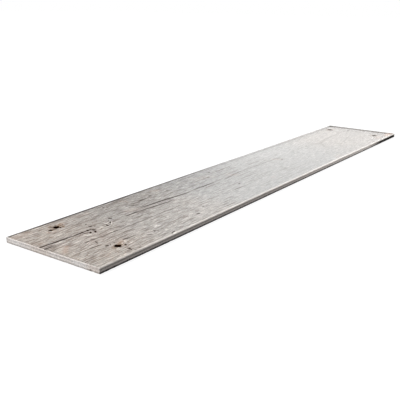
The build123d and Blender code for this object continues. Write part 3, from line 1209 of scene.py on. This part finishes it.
body = {
    "sand": paint(206, 196, 189),
    "ash": paint(219, 214, 211),
    # dark colour of the darker arrises, the painted shade on the right side and the spot by the chip
    "darkening": paint(70, 63, 57),
    "speck": paint(120, 108, 98),
    # pale colour of the paler line at half height and of the painted arris highlights
    "arris": paint(240, 234, 228),
    "underGlaze": paint(128, 117, 110),
    # painted shadow: near black at the foot of the right side
    "shadowBlack": paint(20, 17, 15),
    # painted shade at the far end of the right side
    "farShadow": paint(8, 6, 5),
    "sandyPlaces": ((0.022, 0.036), (-0.088, 0.020)),  # middle and reach across the ends, in metres
    "paleLine": (0.0042, 0.0007),  # height and reach of a paler line along the edge
    "chipDarkSpot": (-0.0818, 0.0012, 0.0042),  # a dark spot beside the near end's chip: across, height, reach
    "shadowRise": 0.0008,  # how much higher the painted low shadow reaches on the right side
    "highlightDrop": 0.0007,  # how much lower the painted highlight of the top arris reaches there
    "roughness": 0.62,
    "specular": 0.04,
    "bumpStrength": 0.4,
    "bumpDistance": 0.0003,
}

# Fades on the edge in metres: from and to, then the share before and after where it isn't 0 and 1
bodyHeights = {
    "seamFoot": (0.0057, 0.0065),
    "seamTop": (0.0078, 0.0071),
    "lowShadow": (0.0030, 0.0010),
    "sideShade": (0.0045, 0.0078, 0.14, 0.42),
    "paintedSideLight": (0.0060, 0.0084),
    # heights of the painted highlight on the top arris
    "top": (0.0084, 0.0089),
    "farShadow": (0.0086, 0.0068),
}
bodyAlong = {
    "leftArrisDark": (0.50, 0.0),
    "farArrisDark": (0.5975, 0.5985),
    "sideShade": (-0.25, 0.25, 1.0, 0.15),
    "paintedSideLightStart": (-0.10, 0.30, 0.0, 0.50),
    "paintedSideLightEnd": (0.38, 0.46, 1.0, 0.45),
    "highlightReach": (0.5960, 0.5980, 1.0, 0.0),
    "nearHalf": (0.0, -0.5),
    "farShadow": (0.40, 0.49),
}
bodyAcross = {
    "leftArrisDark": (0.0975, 0.0985),
    "rightSide": (-0.0985, -0.0992),
    "rightTop": (-0.0960, -0.0985, 0.0, 0.8),
    "highlightReach": (0.0960, 0.0980, 0.75, 0.0),
}


def firedBody():
    material = newMaterial("groundPorcelainEdge")
    place = objectPlace()
    x, y, z = axesOf(place)
    patches = cloud(place, scale=34.0, detail=3.0)
    grit = cloud(place, scale=900.0, roughness=0.6)
    lines = cloud(stretched(place, (14.0, 14.0, 900.0)), detail=3.0)
    broken = cloud(place, scale=150.0, detail=3.0)
    mottle = cloud(place, scale=420.0, detail=3.0, roughness=0.65)

    # ground body: ash grey, sandy in places, with grinding lines, mottling and specks
    sandy = spread(patches, 0.42, 0.66, 0.0, 0.45)
    for middle, reach in body["sandyPlaces"]:
        sandy = larger(sandy, spread(abs(y - middle), reach, reach * 0.3))
    colour = blend(body["ash"], body["sand"], sandy)
    uneven = 1.0 + (lines - 0.5) * 0.20 + (grit - 0.5) * 0.22
    colour = scaled(colour, uneven + spread(mottle, 0.38, 0.62, -0.24, 0.16))
    colour = blend(colour, body["speck"], spread(grit, 0.66, 0.74) * 0.5)

    # a darker seam under the glaze and a paler line at half height
    wavering = z + (broken - 0.5) * 0.0016
    seam = faded(wavering, bodyHeights, "seamFoot", "seamTop")
    seam = seam * spread(broken, 0.32, 0.55, 0.3, 1.0) * spread(patches, 0.40, 0.60, 0.15, 0.50)
    colour = blend(colour, body["underGlaze"], seam)
    height, reach = body["paleLine"]
    paleLine = spread(abs(wavering - height), reach, reach * 0.4) * spread(grit, 0.42, 0.56, 0.1, 1.0)
    colour = blend(colour, body["arris"], paleLine * 0.8)

    # darker arrises along the left side and the far end, painted shadow low on every side and near black low
    # on the right side, and painted shade on the upper right side
    leftDark = faded(y, bodyAcross, "leftArrisDark") * faded(x, bodyAlong, "leftArrisDark")
    darkArris = larger(leftDark, faded(x, bodyAlong, "farArrisDark"))
    colour = blend(colour, body["darkening"], darkArris * 0.9)
    rightSide = faded(y, bodyAcross, "rightSide")
    lowHeight = z + (broken - 0.5) * 0.002 - rightSide * body["shadowRise"]
    low = faded(lowHeight, bodyHeights, "lowShadow")
    # painted shadow at the foot of the edges: speck colour on the ends and the left side, near black on the
    # right side
    lowShadow = blend(body["speck"], body["shadowBlack"], rightSide)
    colour = blend(colour, lowShadow, low * spread(rightSide, 0.0, 1.0, 0.55, 0.96))
    sideShade = rightSide * faded(z, bodyHeights, "sideShade") * faded(x, bodyAlong, "sideShade")
    colour = blend(colour, body["darkening"], sideShade)

    # painted highlights: pale top arrises and a pale upper band on the right side; and a dark spot beside the
    # chip
    paintedSideLight = rightSide * faded(x, bodyAlong, "paintedSideLightStart", "paintedSideLightEnd")
    colour = blend(colour, body["arris"], paintedSideLight * faded(z, bodyHeights, "paintedSideLight"))
    chipped = larger(spread(broken, 0.36, 0.52, 0.25, 1.0), faded(y, bodyAcross, "rightTop"))
    top = faded(z + rightSide * body["highlightDrop"], bodyHeights, "top") * chipped
    highlightKept = faded(y, bodyAcross, "highlightReach") * faded(x, bodyAlong, "highlightReach")
    colour = blend(colour, body["arris"], top * highlightKept)
    spotY, spotZ, spotReach = body["chipDarkSpot"]
    chipSpot = spread(abs(y - spotY) + abs(z - spotZ), spotReach, spotReach * 0.3)
    colour = blend(colour, body["darkening"], chipSpot * faded(x, bodyAlong, "nearHalf") * 0.6)

    # painted shade: the far end of the right side is darkened nearly black
    farShadow = rightSide * faded(x + (patches - 0.5) * 0.04, bodyAlong, "farShadow") * faded(z, bodyHeights, "farShadow")
    colour = blend(colour, body["farShadow"], farShadow * 0.98)

    coat(colour, body["roughness"] + (broken - 0.5) * 0.2, body, grit * 0.5 + broken * 0.6 + lines * 0.3)
    return material


bisque = {
    "clay": paint(190, 172, 152),
    "clayDark": paint(158, 140, 122),
    "wash": paint(228, 224, 216),
    "speck": paint(96, 84, 74),
    "sunk": (0.00015, 0.0006),  # heights between which the channels get darker
    "washed": (0.0002, 0.00006),  # heights between which the kiln wash starts
    "roughness": 0.8,
    "specular": 0.5,
    "bumpStrength": 0.4,
    "bumpDistance": 0.0003,
}


def pressedBack():
    material = newMaterial("pressedBackBisque")
    place = objectPlace()
    z = axesOf(place)[2]
    patches = cloud(place, scale=9.0, detail=4.0)
    grit = cloud(place, scale=850.0, roughness=0.6)
    powder = cloud(place, scale=60.0, detail=5.0, roughness=0.65)

    colour = blend(bisque["clay"], bisque["clayDark"], spread(patches, 0.35, 0.65))
    colour = scaled(colour, 1.0 + (grit - 0.5) * 0.25)
    colour = blend(colour, bisque["clayDark"], spread(z, *bisque["sunk"]) * 0.35)
    # white kiln wash, picked up by the lugs from the rollers
    wash = spread(z, *bisque["washed"]) * spread(powder, 0.42, 0.60)
    colour = blend(colour, bisque["wash"], wash * 0.8)
    colour = blend(colour, bisque["speck"], spread(grit, 0.68, 0.75) * 0.6)
    coat(colour, bisque["roughness"], bisque, grit * 0.5 + powder * 0.8)
    return material


plankTile = makeTile()
for makeFinish in (printedWood, firedBody, pressedBack, sootedMark):
    plankTile.data.materials.append(makeFinish())
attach(plankTile, "root")
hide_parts("floor_tile")
print("finishes: printed face, ground edge, pressed back and sooted nail marks")
